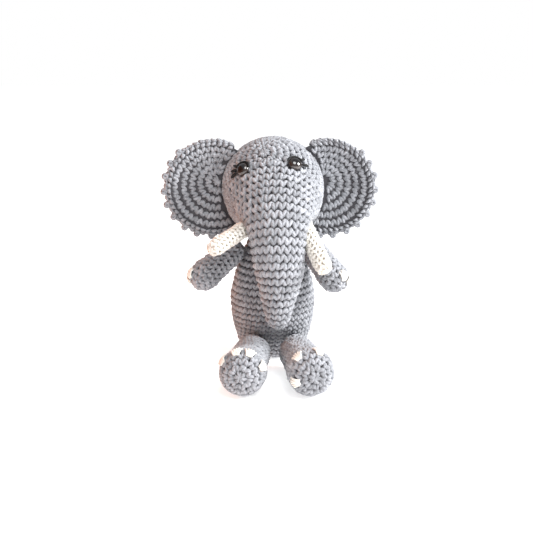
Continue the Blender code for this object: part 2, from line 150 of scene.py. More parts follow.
def wire(tree, known, nodes, links):
    """Adds nodes (key, type, settings) to a tree, then links (from, output, to, input)."""
    for key, kind, settings in nodes:
        known[key] = node = tree.nodes.new(kind)
        for setting, value in settings.items():
            if setting == "ramp":
                for stop, (at, colour) in zip(node.color_ramp.elements, value):
                    stop.position, stop.color = at, colour
            elif isinstance(setting, int) or setting in node.inputs:
                node.inputs[setting].default_value = value
            else:
                setattr(node, setting, value)
    for a, out, b, into in links:
        tree.links.new(known[a].outputs[out], known[b].inputs[into])


def material(name, nodes, links, **shader):
    """A material from its nodes and links, with constants on the shader's own sockets."""
    made = bpy.data.materials.new(name)
    made.use_nodes = True
    known = {"shader": made.node_tree.nodes["Principled BSDF"]}
    for socket, value in shader.items():
        known["shader"].inputs[socket.replace("_", " ")].default_value = value
    wire(made.node_tree, known, nodes, links)
    return made


def speckled(name, scale, low, high, detail=2.0, top=0.7, relief=None, **shader):
    """A material that wanders between two shades with noise, and in relief if that is given."""
    nodes = [
        ("place", "ShaderNodeTexCoord", {}),
        ("grain", "ShaderNodeTexNoise", {"Scale": scale, "Detail": detail}),
        ("tint", "ShaderNodeValToRGB", {"ramp": [(0.3, shade(low)), (top, shade(high))]}),
    ]
    links = [("place", "Object", "grain", "Vector"), ("grain", "Fac", "tint", "Fac"),
             ("tint", "Color", "shader", "Base Color")]
    if relief:
        nodes.append(("bump", "ShaderNodeBump", {"Strength": 0.8, "Distance": relief}))
        links += [("grain", "Fac", "bump", "Height"), ("bump", "Normal", "shader", "Normal")]
    return material(name, nodes, links, **shader)


def yarn(name, gap_shade_colour, dark, light):
    """Plied yarn: tone by stitch and by fibre, painted shade in its gaps, and its plies' twist in
    relief.
    """
    # A wool fibre is about 0.02 mm thick, too fine to show, so the fibres are drawn about 1 mm
    # apart. The dye's patches are about 17 mm across. A strand shows about two turns of its plies.
    nodes = [
        ("place", "ShaderNodeTexCoord", {}),
        ("tone", "ShaderNodeAttribute", {"attribute_name": "tone"}),
        ("depth", "ShaderNodeAttribute", {"attribute_name": "depth"}),
        ("fibre", "ShaderNodeTexNoise", {"Scale": 900.0, "Detail": 4.0, "Roughness": 0.65}),
        ("patch", "ShaderNodeTexNoise", {"Scale": 60.0, "Detail": 2.0}),
        ("twist", "ShaderNodeTexWave", {"wave_type": "BANDS", "bands_direction": "DIAGONAL",
                                        "Scale": 2.2, "Distortion": 0.6, "Detail": 1.0,
                                        "Detail Scale": 2.0}),
        ("mixed", "ShaderNodeMath", {"operation": "MULTIPLY_ADD", 1: 0.45}),
        ("level", "ShaderNodeMath", {"operation": "MULTIPLY_ADD", 1: 0.35}),
        ("yarns", "ShaderNodeValToRGB", {"ramp": [(0.2, shade(dark)), (0.85, shade(light))]}),
        # The deep colour is painted shade, mixed in by the depth mark: full on the backing, and
        # strongest where a stitch dips in.
        ("painted_gap_shade", "ShaderNodeMix", {"data_type": "RGBA", "clamp_factor": True, "A": shade(gap_shade_colour)}),
        ("relief", "ShaderNodeMath", {"operation": "MULTIPLY_ADD", 1: 0.5}),
        ("bump", "ShaderNodeBump", {"Strength": 0.55, "Distance": 0.0006}),
    ]
    links = [
        ("place", "Object", "fibre", "Vector"), ("place", "Object", "patch", "Vector"),
        ("place", "UV", "twist", "Vector"),
        ("fibre", "Fac", "mixed", 0), ("tone", "Fac", "mixed", 2),
        ("patch", "Fac", "level", 0), ("mixed", 0, "level", 2),
        ("level", 0, "yarns", "Fac"), ("yarns", "Color", "painted_gap_shade", "B"),
        ("depth", "Fac", "painted_gap_shade", "Factor"), ("painted_gap_shade", "Result", "shader", "Base Color"),
        ("twist", "Fac", "relief", 0), ("fibre", "Fac", "relief", 2),
        ("relief", 0, "bump", "Height"), ("bump", "Normal", "shader", "Normal"),
    ]
    return material(name, nodes, links, Roughness=0.92, Sheen_Weight=0.35, Sheen_Roughness=0.45)


# Spun wool: matt, with a soft bloom at its edges, and painted shade in the gaps between the
# strands.
GREY = yarn("grey_wool_yarn", "434246", "86888D", "B8BAC0")
CREAM = yarn("cream_wool_yarn", "BDB2A0", "DDD8CE", "F8F6F2")
# Carded polyester: white and shineless, in wisps about 3 mm across.
FIBRE = speckled("polyester_fibrefill", 350.0, "D8D6D0", "F7F6F2", detail=6.0, relief=0.001,
                 Roughness=1.0, Sheen_Weight=0.5)
# Moulded, polished plastic: a black pupil in a dark brown ring, under small sharp lights.
EYE = material("brown_eye_plastic", [
    ("reach", "ShaderNodeAttribute", {"attribute_name": "reach"}),
    ("iris", "ShaderNodeValToRGB", {"ramp": [(0.50, shade("080505")), (0.80, shade("2F2622"))]})],
    [("reach", "Fac", "iris", "Fac"), ("iris", "Color", "shader", "Base Color")],
    Roughness=0.12, Coat_Weight=1.0, Coat_Roughness=0.03, IOR=1.5)
# Twisted cotton: nearly black and dull. Its fibres are drawn coarser than life so that they show.
THREAD = speckled("black_cotton_thread", 1500.0, "060505", "161415", detail=3.0, top=0.8,
                  Roughness=0.75)
# Moulded plastic, unpolished: off-white with a low shine.
WASHER = speckled("white_washer_plastic", 400.0, "D4D2CC", "E6E4DE", Roughness=0.4)
print("materials", [made.name for made in (GREY, CREAM, FIBRE, EYE, THREAD, WASHER)])

# %% [markdown]
# ## The forms
# A stuffed cover takes the form that its filling gives it. Each is a set of rings from its closed
# end to its opening: the torso, the head that runs on into the trunk, and the turned limbs and
# tusks.

# %% Form helpers
TILT = math.radians(HEAD_TILT)
FORWARD = np.array([0, -math.cos(TILT), -math.sin(TILT)])
UPWARD = np.array([0, -math.sin(TILT), math.cos(TILT)])


def angles(count):
    """Angles spaced evenly round a full turn."""
    return np.linspace(0, 2 * math.pi, count, endpoint=False)


def unit(rows):
    """Vectors brought to a length of one."""
    return rows / np.linalg.norm(rows, axis=-1, keepdims=True)


def distances(points):
    """How far along a line each of its points lies."""
    return np.concatenate([[0], np.cumsum(np.linalg.norm(np.diff(points, axis=0), axis=1))])


def spline(points, count):
    """Points spaced evenly along a smooth curve through the given ones."""
    p = np.asarray(points, float)
    ext = np.vstack([2 * p[0] - p[1], p, 2 * p[-1] - p[-2]])
    t = np.linspace(0, 1, 24, endpoint=False)[:, None]
    runs = []
    for a, b, c, d in zip(ext, ext[1:], ext[2:], ext[3:]):
        runs.append(0.5 * (2 * b + (c - a) * t + (2 * a - 5 * b + 4 * c - d) * t**2
                           + (3 * b - a - 3 * c + d) * t**3))
    fine = np.vstack([*runs, p[-1:]])
    run = distances(fine)
    at = np.linspace(0, run[-1], count)
    return np.stack([np.interp(at, run, fine[:, k]) for k in range(fine.shape[1])], 1)


def turned(line, cols):
    """Rings about +Z for a profile of (height, radius)."""
    turn = angles(cols)
    return np.stack([np.stack([r * np.cos(turn), r * np.sin(turn), np.full(cols, h)], 1)
                     for h, r in line])


def oval(cx, front, back, half, cols):
    """A ring through a front and a back point (y, z) with the given half width, front first."""
    turn = angles(cols)
    mid, arm = (np.asarray(front) + back) / 2, (np.asarray(front) - back) / 2
    return np.stack([cx + half * np.sin(turn), mid[0] + arm[0] * np.cos(turn),
                     mid[1] + arm[1] * np.cos(turn)], 1)


def is_point(ring):
    """Whether a ring has closed to a single point."""
    return np.ptp(ring, axis=0).max() < 1e-9


def outward(grid):
    """The outward normals of a grid of rings."""
    along, around = np.empty_like(grid), np.roll(grid, -1, 1) - np.roll(grid, 1, 1)
    along[1:-1], along[0], along[-1] = grid[2:] - grid[:-2], grid[1] - grid[0], grid[-1] - grid[-2]
    normal = np.cross(around, along)
    if np.sum(normal * (grid - grid.mean(1, keepdims=True))) < 0:
        normal = -normal
    normal = normal / np.maximum(np.linalg.norm(normal, axis=2, keepdims=True), 1e-12)
    for end, beside in ((0, 1), (-1, -2)):
        if is_point(grid[end]):
            normal[end] = unit(normal[beside].mean(0))
    return normal


def frame_along(origin, direction):
    """A frame in millimetres whose +Z runs along direction and whose +Y is near to world up."""
    z = Vector(direction).normalized()
    x = Vector((0, 0, 1)).cross(z).normalized()
    return Matrix.Translation(Vector(origin)) @ Matrix((x, z.cross(x), z)).transposed().to_4x4()


def moved(grid, home):
    """Points of any grid carried by a frame."""
    m = np.array(home)
    return grid @ m[:3, :3].T + m[:3, 3]


def in_frame(points):
    """Points of the part's own shapes, in the frame's place and in metres."""
    return (points + np.array(ORIGIN)) * MM


def torso_rings(cols):
    """Rings from the middle of the seat up to the neck."""
    _, front, back, half = TORSO[0]
    seat = [oval(0, (front + inset, 0), (back - inset, 0), half * share, cols)
            for inset, share in SEAT]
    return np.stack([*seat, *[oval(0, (f, h), (b, h), w, cols)
                              for h, f, b, w in spline(TORSO[1:], 90)]])


def head_rings(cols, balls, steps, back):
    """Rings from the trunk's tip back over the face and round the ball of the head."""
    rings = []
    for a in np.radians(np.linspace(back, CHEEK, balls)):
        mid = np.array(HEAD_C) - FORWARD * HEAD_R * math.cos(a)
        reach = HEAD_R * math.sin(a)
        shift = FACE_SHIFT if a > SHIFT_FROM else 0.0
        top, bottom = (mid + UPWARD * reach)[1:], (mid - UPWARD * reach)[1:]
        rings.append(oval(shift, top, bottom, reach, cols))
    last = rings[-1]
    start = (FACE_SHIFT, *last[0][1:], *last[cols // 2][1:], HEAD_R * math.sin(math.radians(CHEEK)))
    for x, fy, fz, by, bz, half in spline([start, *FACE], steps)[1:]:
        rings.append(oval(x, (fy, fz), (by, bz), half, cols))
    rings.append(np.repeat([TRUNK_END], cols, 0))
    return np.stack(rings[::-1])


def cup(side, r, t):
    """How far back a point of an ear's panel lies from the middle of its thickness."""
    lean = max(0.0, r * math.cos(t) * (1 if side == "left" else -1) / EAR_R)
    return -EAR_CUP * (r / EAR_R) ** 2 * (0.45 + 0.55 * lean) + EAR_SET


def skin_tree(grid):
    """A tree for finding the nearest point of a form."""
    rows, cols = grid.shape[:2]
    faces = []
    for i in range(rows - 1):
        for j in range(cols):
            k = (j + 1) % cols
            faces.append((i * cols + j, i * cols + k, (i + 1) * cols + k, (i + 1) * cols + j))
    return BVHTree.FromPolygons([Vector(p) for p in grid.reshape(-1, 3)], faces)


TORSO_GRID = torso_rings(96)
HEAD_GRID = head_rings(96, 40, 110, 0.5)
HEAD_TREE = skin_tree(HEAD_GRID)
print("torso rings", len(TORSO_GRID), "head rings", len(HEAD_GRID))

# %% [markdown]
# ## One stitch and where the stitches go
# A single crochet shows as a V of two plump strands. The hook draws each through the stitch
# below, so its foot and its tips tuck in. Modelled once, it is set out along the rounds by a
# small node tree. Under the stitches lies a plain backing in the yarn's painted shade colour,
# which stands for the shaded inside of the fabric.

# %% Stitch and rounds
STRAND = [(0.03, -0.58, -0.26), (0.10, -0.36, 0.01), (0.215, -0.07, 0.13), (0.315, 0.18, 0.08),
          (0.35, 0.41, -0.24)]  # one strand's path in a cell one unit wide and high, z outwards
STRAND_R = [0.16, 0.26, 0.30, 0.27, 0.15]
LOW, DEEP = -0.26, 0.46  # painted shade: a stitch grades from dark at this height to its lit colour this much further out
ASKEW = (0.31, 0.17, 0.93)  # a direction that no strand runs along


def in_scene(name, data):
    """An object for a mesh, a light or a camera, in the scene."""
    made = bpy.data.objects.new(name, data)
    bpy.context.scene.collection.objects.link(made)
    return made


def smooth_mesh(name, bm, mend=True):
    """Ends a mesh being built: its normals outwards unless they already are, its faces smooth."""
    if mend:
        bmesh.ops.recalc_face_normals(bm, faces=bm.faces[:])
    mesh = bpy.data.meshes.new(name)
    bm.to_mesh(mesh)
    bm.free()
    mesh.polygons.foreach_set("use_smooth", [True] * len(mesh.polygons))
    return mesh


def mark(mesh, name, values):
    """Gives every vertex a number that a material or the node tree reads."""
    mesh.attributes.new(name, "FLOAT", "POINT").data.foreach_set("value", values)


def cap(bm, loops):
    """Closes the first and last loop of a surface, unless they are points."""
    for loop in (loops[0], loops[-1]):
        if len(loop) > 1:
            bm.faces.new(loop)


def stitch_mesh(sides=6):
    """A V of two strands, leaning the way it is worked."""
    bm = bmesh.new()
    layer = bm.loops.layers.uv.new("UVMap")
    last = len(STRAND) - 1
    for side in (-1, 1):
        loops = []
        for (x, y, z), r in zip(STRAND, STRAND_R):
            loops.append([bm.verts.new((side * (x + r * math.cos(a)) + LEAN * y, y + 0.05 * side,
                                        z + r * math.sin(a))) for a in angles(sides)])
        for i, (low, high) in enumerate(zip(loops, loops[1:])):
            for k in range(sides):
                j = (k + 1) % sides
                corners = [low[k], low[j], high[j], high[k]]
                spots = [(k / sides, i / last), ((k + 1) / sides, i / last),
                         ((k + 1) / sides, (i + 1) / last), (k / sides, (i + 1) / last)]
                face = bm.faces.new(corners if side > 0 else corners[::-1])
                for loop, spot in zip(face.loops, spots if side > 0 else spots[::-1]):
                    loop[layer].uv = spot
        cap(bm, loops)
    mesh = smooth_mesh("single_crochet", bm)
    # The depth mark is the mask of the painted shade inside each stitch.
    mark(mesh, "depth", [min(1.0, max(0.0, (v.co.z - LOW) / DEEP)) for v in mesh.vertices])
    return bpy.data.objects.new("single_crochet", mesh)


def lay(spot, along, out, width, height, plump=1.0):
    """One stitch's record: its place, the way it is worked, the way outwards and its size."""
    return (np.asarray(spot, float), np.asarray(along, float), np.asarray(out, float),
            width, height, plump)


def rounds(grid, gauge, drift=0.12):
    """Stitches worked over rings in a spiral, each round starting a drift after the last."""
    pitch, width = gauge
    step = np.linalg.norm(np.diff(grid, axis=0), axis=2).mean(1)
    run = np.concatenate([[0], np.cumsum(step)])
    count = max(1, round(run[-1] / pitch))
    real = run[-1] / count
    normals = outward(grid)
    made, lean = [], 0.0

    def ring_at(values, s):
        s = min(max(s, 0.0), run[-1])
        k = min(int(np.searchsorted(run, s, "right")) - 1, len(run) - 2)
        f = (s - run[k]) / max(run[k + 1] - run[k], 1e-9)
        return values[k] * (1 - f) + values[k + 1] * f

    for n in range(count):
        s = (n + 0.5) * real
        ring, normal = ring_at(grid, s), ring_at(normals, s)
        rise = ring_at(grid, s + real / 2) - ring_at(grid, s - real / 2)
        around = distances(np.vstack([ring, ring[:1]]))
        total = max(FIRST_RING, round(around[-1] / width))
        broad = max(around[-1] / total, NARROWEST * width)
        lean += drift
        for k in range(total):
            at = ((k + lean) % total) / total * around[-1]
            col = np.interp(at, around, np.arange(len(around)))
            j, f = int(col) % len(ring), col - int(col)
            m = (j + 1) % len(ring)
            spot = ring[j] * (1 - f) + ring[m] * f
            along = rise[j] * (1 - f) + rise[m] * f
            out = normal[j] * (1 - f) + normal[m] * f
            made.append(lay(spot, along, out, broad, np.linalg.norm(along)))
    return made


def along_line(points, normals, pitch, width):
    """A chain of stitches running along a line, each lying on the given normals."""
    run = distances(points)
    count = max(2, round(run[-1] / pitch))

    def at(values, s):
        return np.array([np.interp(s, run, values[:, i]) for i in range(3)])

    made = []
    for k in range(count):
        s = (k + 0.5) * run[-1] / count
        ahead = at(points, s + 0.4) - at(points, s - 0.4)
        made.append(lay(at(points, s), ahead, at(normals, s), width, run[-1] / count))
    return made


def stitch_points(name, stitches, rng, sink):
    """A mesh of one vertex per stitch with its turn, size and tone, in metres."""
    spots, turns, sizes, tones = [], [], [], []
    for spot, along, out, width, height, plump in stitches:
        z = Vector(out).normalized()
        y = Vector(along) - z * Vector(along).dot(z)
        y.normalize()
        x = y.cross(z)
        swing = (Matrix.Rotation(rng.normal(0, TURN_SPREAD), 3, "Z")
                 @ Matrix.Rotation(rng.normal(0, TURN_SPREAD), 3, "X"))
        turn = Matrix((x, y, z)).transposed() @ swing
        side, depth = rng.normal(0, SLIDE_SPREAD * width), rng.normal(0, DEPTH_SPREAD * width)
        spot = Vector(spot) + x * side + z * (depth - sink * width * plump)
        spots.append((spot + Vector(ORIGIN)) * MM)
        turns.append(turn.to_euler())
        grow = 1 + rng.normal(0, SIZE_SPREAD)
        sizes.append((width * OVERLAP[0] * grow * MM, height * OVERLAP[1] * MM,
                      width * plump * grow * MM))
        tones.append(rng.normal(0.0, TONE_SPREAD))
    mesh = bpy.data.meshes.new(name)
    mesh.from_pydata([tuple(p) for p in spots], [], [])
    for key, values in (("turn", turns), ("size", sizes)):
        mesh.attributes.new(key, "FLOAT_VECTOR", "POINT").data.foreach_set(
            "vector", [c for v in values for c in v])
    mark(mesh, "tone", tones)
    return in_scene(name, mesh)


def crochet_tree():
    """Sets one stitch on every point, joins the backing fabric and gives both the yarn."""
    tree = bpy.data.node_groups.new("crochet_rounds", "GeometryNodeTree")
    for name, kind in (("Geometry", "Geometry"), ("Stitch", "Object"), ("Backing", "Object"),
                       ("Yarn", "Material"), ("Stitch Size", "Float")):
        tree.interface.new_socket(name, in_out="INPUT", socket_type="NodeSocket" + kind)
    tree.interface.new_socket("Geometry", in_out="OUTPUT", socket_type="NodeSocketGeometry")
    wire(tree, {}, [
        ("start", "NodeGroupInput", {}),
        ("stitch", "GeometryNodeObjectInfo", {}),
        ("backing", "GeometryNodeObjectInfo", {}),
        ("turn", "GeometryNodeInputNamedAttribute", {"data_type": "FLOAT_VECTOR", "Name": "turn"}),
        ("size", "GeometryNodeInputNamedAttribute", {"data_type": "FLOAT_VECTOR", "Name": "size"}),
        ("spin", "FunctionNodeEulerToRotation", {}),
        ("scale", "ShaderNodeVectorMath", {"operation": "SCALE"}),
        ("set", "GeometryNodeInstanceOnPoints", {}),
        ("join", "GeometryNodeJoinGeometry", {}),
        ("solid", "GeometryNodeRealizeInstances", {}),
        ("paint", "GeometryNodeSetMaterial", {}),
        ("end", "NodeGroupOutput", {}),
    ], [
        ("start", "Stitch", "stitch", "Object"), ("start", "Backing", "backing", "Object"),
        ("turn", "Attribute", "spin", 0), ("size", "Attribute", "scale", 0),
        ("start", "Stitch Size", "scale", "Scale"),
        ("start", "Geometry", "set", "Points"), ("stitch", "Geometry", "set", "Instance"),
        ("spin", 0, "set", "Rotation"), ("scale", 0, "set", "Scale"),
        ("set", 0, "join", 0), ("backing", "Geometry", "join", 0), ("join", 0, "solid", 0),
        ("solid", 0, "paint", 0), ("start", "Yarn", "paint", "Material"), ("paint", 0, "end", 0),
    ])
    return tree


STITCH = stitch_mesh()
ROUNDS = crochet_tree()
SOCKETS = {item.name: item.identifier for item in ROUNDS.interface.items_tree
           if item.in_out == "INPUT"}


def grid_object(name, rings):
    """A closed surface over rings in metres, some of which may be a single point."""
    bm = bmesh.new()
    loops = [[bm.verts.new(p) for p in (ring[:1] if is_point(ring) else ring)] for ring in rings]
    count = max(len(loop) for loop in loops)
    for low, high in zip(loops, loops[1:]):
        for k in range(count):
            j = (k + 1) % count
            corners = [low[k % len(low)], low[j % len(low)],
                       high[j % len(high)], high[k % len(high)]]
            unique = list(dict.fromkeys(corners))
            if len(unique) > 2:
                bm.faces.new(unique)
    cap(bm, loops)
    return in_scene(name, smooth_mesh(name, bm))


def shell_object(name, grid, depth):
    """The fabric's inside, painted shade: the form moved inwards and closed at both ends."""
    return grid_object(name, in_frame(grid - depth * outward(grid)))


def tube(bm, points, radii, sides=8):
    """A closed round strand through points, added to a mesh being built."""
    points = [Vector(p) for p in points]
    loops = []
    for k, p in enumerate(points):
        ahead = (points[min(k + 1, len(points) - 1)] - points[max(k - 1, 0)]).normalized()
        side = ahead.cross(Vector(ASKEW)).normalized()
        over = side.cross(ahead)
        loops.append([bm.verts.new(p + (side * math.cos(a) + over * math.sin(a)) * radii[k])
                      for a in angles(sides)])
    for low, high in zip(loops, loops[1:]):
        for k in range(sides):
            j = (k + 1) % sides
            bm.faces.new((low[k], low[j], high[j], high[k]))
    cap(bm, loops)


def crochet(name, stitches, backing, finish, body, nodes, seed, sink=SINK):
    """Works a whole cover from its stitches and backing, as one plain mesh riding on a body."""
    points = stitch_points(name + "_points", stitches, np.random.default_rng(seed), sink)
    step = points.modifiers.new("rounds", "NODES")
    step.node_group = ROUNDS
    for key, value in (("Stitch", STITCH), ("Backing", backing), ("Yarn", finish),
                       ("Stitch Size", 1.0)):
        step[SOCKETS[key]] = value
    bpy.context.view_layer.update()
    worked = points.evaluated_get(bpy.context.evaluated_depsgraph_get())
    mesh = bpy.data.meshes.new_from_object(worked)
    mesh.name = name
    for old in (points, backing):
        bpy.data.objects.remove(old, do_unlink=True)
    mesh.polygons.foreach_set("use_smooth", [True] * len(mesh.polygons))
    made = in_scene(name, mesh)
    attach(made, body)
    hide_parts(*nodes)
    print(name, "stitches", len(stitches), "faces", len(mesh.polygons))


print("stitch faces", len(STITCH.data.polygons))

# %% [markdown]
# ## Torso
# It is worked in one piece from a small ring under the seat up to the neck, widening and
# narrowing by a few stitches a round. Level rounds of plain single crochet give the even, ribbed
# belly.

# %% Torso
crochet("torso_crochet", rounds(TORSO_GRID, TORSO_GAUGE),
        shell_object("torso_backing", TORSO_GRID, BACKING),
        GREY, "torso", ["body_cover"], 11)
turns = np.linspace(0, 2 * math.pi, 73)
neck_out = np.stack([np.cos(turns), np.sin(turns), np.zeros(73)], 1)
neck_line = neck_out * NECK_R + (0, 0, NECK_Z)
neck_core = np.stack([oval(0, (-r, 0), (r, 0), r, 72) + (0, 0, z) for r, z in
                      ((NECK_R - 0.6, -1.2), (NECK_R, 0.0), (NECK_R - 0.6, 1.2))])
neck_core = moved(neck_core, Matrix.Translation((0, 0, NECK_Z)))
crochet("neck_seam_stitches", along_line(neck_line + neck_out * 1.2, neck_out, 4.2, 3.4),
        shell_object("neck_backing", neck_core, 0.0), GREY, "neck", ["neck_seam"], 12)

# %% [markdown]
# ## Head and trunk
# The trunk and face are worked from the trunk's tip, so the rounds tilt back over the cheeks. The
# crown starts from its own small ring on the forehead and meets them along the brow, above the
# eyes.


# %% Head and trunk
def forward_of(spot):
    """How far forward of the head's middle a point lies, along the tilt of the face."""
    return float((np.asarray(spot) - HEAD_C) @ FORWARD)


def crown_stitches():
    """Circles of stitches round the crown's small ring, wherever they lie behind the brow."""
    away = Vector(CROWN).normalized()
    side = away.cross(Vector((0, 0, 1))).normalized()
    over = side.cross(away)
    pitch, width = CROWN_GAUGE
    made, lean = [], 0.0
    count = round(math.pi * HEAD_R / pitch)
    for n in range(count):
        polar = (n + 0.5) * math.pi / count
        girth = 2 * math.pi * HEAD_R * math.sin(polar)
        total = max(FIRST_RING, round(girth / width))
        lean += 0.15
        for k in range(total):
            turn = 2 * math.pi * (k + lean) / total
            spoke = side * math.cos(turn) + over * math.sin(turn)
            ray = away * math.cos(polar) + spoke * math.sin(polar)
            spot, normal = HEAD_TREE.ray_cast(Vector(HEAD_C), ray)[:2]
            if spot is None or forward_of(spot) > BROW + BROW_LAP:
                continue
            along = spoke * math.cos(polar) - away * math.sin(polar)
            out = normal if normal.dot(ray) > 0 else -normal
            made.append(lay(spot, along, out, girth / total, math.pi * HEAD_R / count))
    return made


brow_row = max(k for k, ring in enumerate(HEAD_GRID) if forward_of(ring.mean(0)) > BROW)
trunk_stitches = rounds(HEAD_GRID[: brow_row + 2], TRUNK_GAUGE, drift=0.1)
eye_spots = [HEAD_TREE.ray_cast(Vector(HEAD_C), Vector(d))[0] for d in EYE_DIR.values()]
face_stitches = [one for one in trunk_stitches + crown_stitches()
                 if min((Vector(one[0]) - eye).length for eye in eye_spots) > EYE_CLEAR]
crochet("head_crochet", face_stitches, shell_object("head_backing", HEAD_GRID, BACKING + 0.2),
        GREY, "head", ["head_cover"], 13)

# %% [markdown]
# ## Ears
# Each ear is two flat rounds of crochet laid back to back and cupped. The rounds start off
# centre, near the head. A firm chain runs round the rim, with little picot knots on the outer and
# lower edge.


# %% Ears
def ear_rounds(side, face):
    """Rounds on one face of a panel, -1 in front and +1 behind, outside the ball of the head."""
    cx, cy, cz = EAR_C[side]
    sx, sz = EAR_START[side]
    made, lean = [], 0.0

    def on_panel(x, z):
        dx, dz = x - cx, z - cz
        depth = cup(side, math.hypot(dx, dz), math.atan2(dz, dx))
        return np.array([x, cy + depth + face * PANEL_HALF, z])

    for n in range(EAR_ROUNDS):
        f = (n + 0.5) / EAR_ROUNDS
        r = (n + 0.5) * EAR_R / EAR_ROUNDS
        mid = np.array([sx + (cx - sx) * f, sz + (cz - sz) * f])
        total = max(FIRST_RING, round(2 * math.pi * r / EAR_STITCH))
        lean += 0.2
        for k in range(total):
            turn = 2 * math.pi * (k + lean) / total
            c, s = math.cos(turn), math.sin(turn)
            x, z = mid[0] + r * c, mid[1] + r * s
            spot = on_panel(x, z)
            if Vector(spot - HEAD_C).length < HEAD_R + EAR_CLEAR:
                continue
            along = on_panel(x + c, z + s) - on_panel(x - c, z - s)
            across = on_panel(x - s, z + c) - on_panel(x + s, z - c)
            out = np.cross(across, along)
            out = out if out[1] * face > 0 else -out
            made.append(lay(spot, along, out, 2 * math.pi * r / total, EAR_R / EAR_ROUNDS, 0.85))
    return made


def ear_backing(side):
    """The thin middle of a panel, painted shade, drawn back to the ball of the head where it would
    enter.
    """
    cx, cy, cz = EAR_C[side]
    rings = []
    for drop, first, last in ((-0.6, 0, BACKING_R), (0.6, BACKING_R, 0)):
        for r in np.linspace(first, last, 14):
            ring = []
            for t in angles(64):
                y = cy + cup(side, r, t) + drop
                p = Vector((cx + r * math.cos(t), y, cz + r * math.sin(t)))
                away = p - Vector(HEAD_C)
                if away.length < BACKING_CUT:
                    flat = Vector((away.x, 0, away.z)).normalized()
                    reach = math.sqrt(max(BACKING_CUT ** 2 - away.y ** 2, 1.0))
                    p = Vector(HEAD_C) + flat * reach + Vector((0, away.y, 0))
                ring.append(tuple((p + Vector(ORIGIN)) * MM))
            rings.append(ring)
    return grid_object("ear_backing", np.array(rings))


def rim_line(side, count=145):
    """Points of an ear's rim, the way outwards and how far each is out on a picot."""
    cx, cy, cz = EAR_C[side]
    first, last = RIM_SPAN[side]
    spots, outs, bumps = [], [], []
    for f in np.linspace(0, 1, count):
        t = math.radians(first + f * (last - first))
        wave = math.pi * PICOTS * (f - PICOTS_FROM) / (PICOTS_TO - PICOTS_FROM)
        bump = abs(math.sin(wave)) if PICOTS_FROM < f < PICOTS_TO else 0.0
        spots.append((cx + EDGE_R * math.cos(t), cy + cup(side, EAR_R, t) - 0.5 * bump,
                      cz + EDGE_R * math.sin(t)))
        outs.append((math.cos(t), 0.0, math.sin(t)))
        bumps.append(bump)
    return np.array(spots), np.array(outs), np.array(bumps)


def picots(side):
    """The rim's knots: each a little loop of chain drawn up tight, doubled front and back."""
    out_by, loop_r, yarn_r, sides, steps = 3.2, 1.45, 1.3, 7, 14
    spots, outs, bumps = rim_line(side)
    bm = bmesh.new()
    for k in range(1, len(spots) - 1):
        if bumps[k] > 0.9 and bumps[k] >= bumps[k - 1] and bumps[k] > bumps[k + 1]:
            out, ahead = outs[k], unit(spots[k + 1] - spots[k - 1])
            through = np.cross(ahead, out)
            for face in (-1, 1):
                middle = spots[k] + out * out_by + through * face + np.array(ORIGIN)
                loop = [Vector(middle + (ahead * math.cos(a) + out * math.sin(a)) * loop_r
                               + through * 0.25 * face * math.cos(a)) * MM
                        for a in np.linspace(-0.6, 2 * math.pi + 0.2, steps)]
                tube(bm, loop, [yarn_r * MM] * steps, sides)
    mesh = smooth_mesh("picots", bm)
    # The knots are mixed a tenth of the way towards the yarn's painted shade colour.
    mark(mesh, "depth", [0.9] * len(mesh.vertices))
    return in_scene("picots", mesh)


for n, side in enumerate(SIDES):
    crochet(f"ear_crochet_{side}", ear_rounds(side, -1) + ear_rounds(side, 1), ear_backing(side),
            GREY, f"ear_{side}", [f"ear_panel_{side}"], 20 + n)
    spots, outs, _ = rim_line(side)
    chain = []
    for face in (-1.0, 1.0):
        normals = unit(outs * 0.35 + np.array([0, face, 0]))
        chain += along_line(spots + normals * 2.0, normals, 4.6, 4.9)
    chain += along_line(spots + outs * 2.1, outs, 4.6, 4.2)
    crochet(f"ear_rim_{side}", chain, picots(side), GREY, f"ear_{side}", [f"ear_edging_{side}"],
            24 + n)

# %% [markdown]
# ## Arms, legs and tusks
# These are tubes worked from a ring at the tip, six stitches first, then more each round until
# the paw is wide enough. The tusks are the same in cream yarn at a tighter gauge. All are stuffed
# firm.

# %% Arms, legs and tusks
LIMBS = {}
for n, (kind, table, line, gauge) in enumerate((("arm", ARM, ARM_LINE, ARM_GAUGE),
                                                ("leg", LEG, LEG_LINE, LEG_GAUGE))):
    for m, side in enumerate(SIDES):
        pivot, toward = table[side]
        way = Vector(toward) if kind == "arm" else Vector(toward) - Vector(pivot)
        LIMBS[kind, side] = home = frame_along(pivot, way)
        grid = moved(turned(spline(line, 120)[::-1], 64), home)
        crochet(f"{kind}_crochet_{side}", rounds(grid, gauge, drift=0.2),
                shell_object(f"{kind}_backing", grid, BACKING), GREY, f"{kind}_{side}",
                [f"{kind}_cover_{side}"], 30 + 2 * n + m)
for m, side in enumerate(SIDES):
    root, tip, radius = TUSK[side]
    axis = Vector(tip) - Vector(root)
    reach = axis.length
    line = spline([(reach + radius, 0.0), (reach + radius * 0.8, radius * 0.6),
                   (reach, radius * 0.98), (reach * 0.55, radius * 1.04), (0.0, radius)], 60)
    grid = moved(turned(line, 48), frame_along(root, axis))
    crochet(f"tusk_crochet_{side}", rounds(grid, TUSK_GAUGE, drift=0.25),
            shell_object("tusk_backing", grid, 1.0),
            CREAM, "head", [f"tusk_cover_{side}"], 36 + m, sink=0.12)

# %% [markdown]
# ## Nails
# Each nail is a fan of five straight stitches in cream yarn, sewn over the end of the foot or
# paw. They share a narrow tip and spread apart at the other end, and each sinks in where the
# needle went.


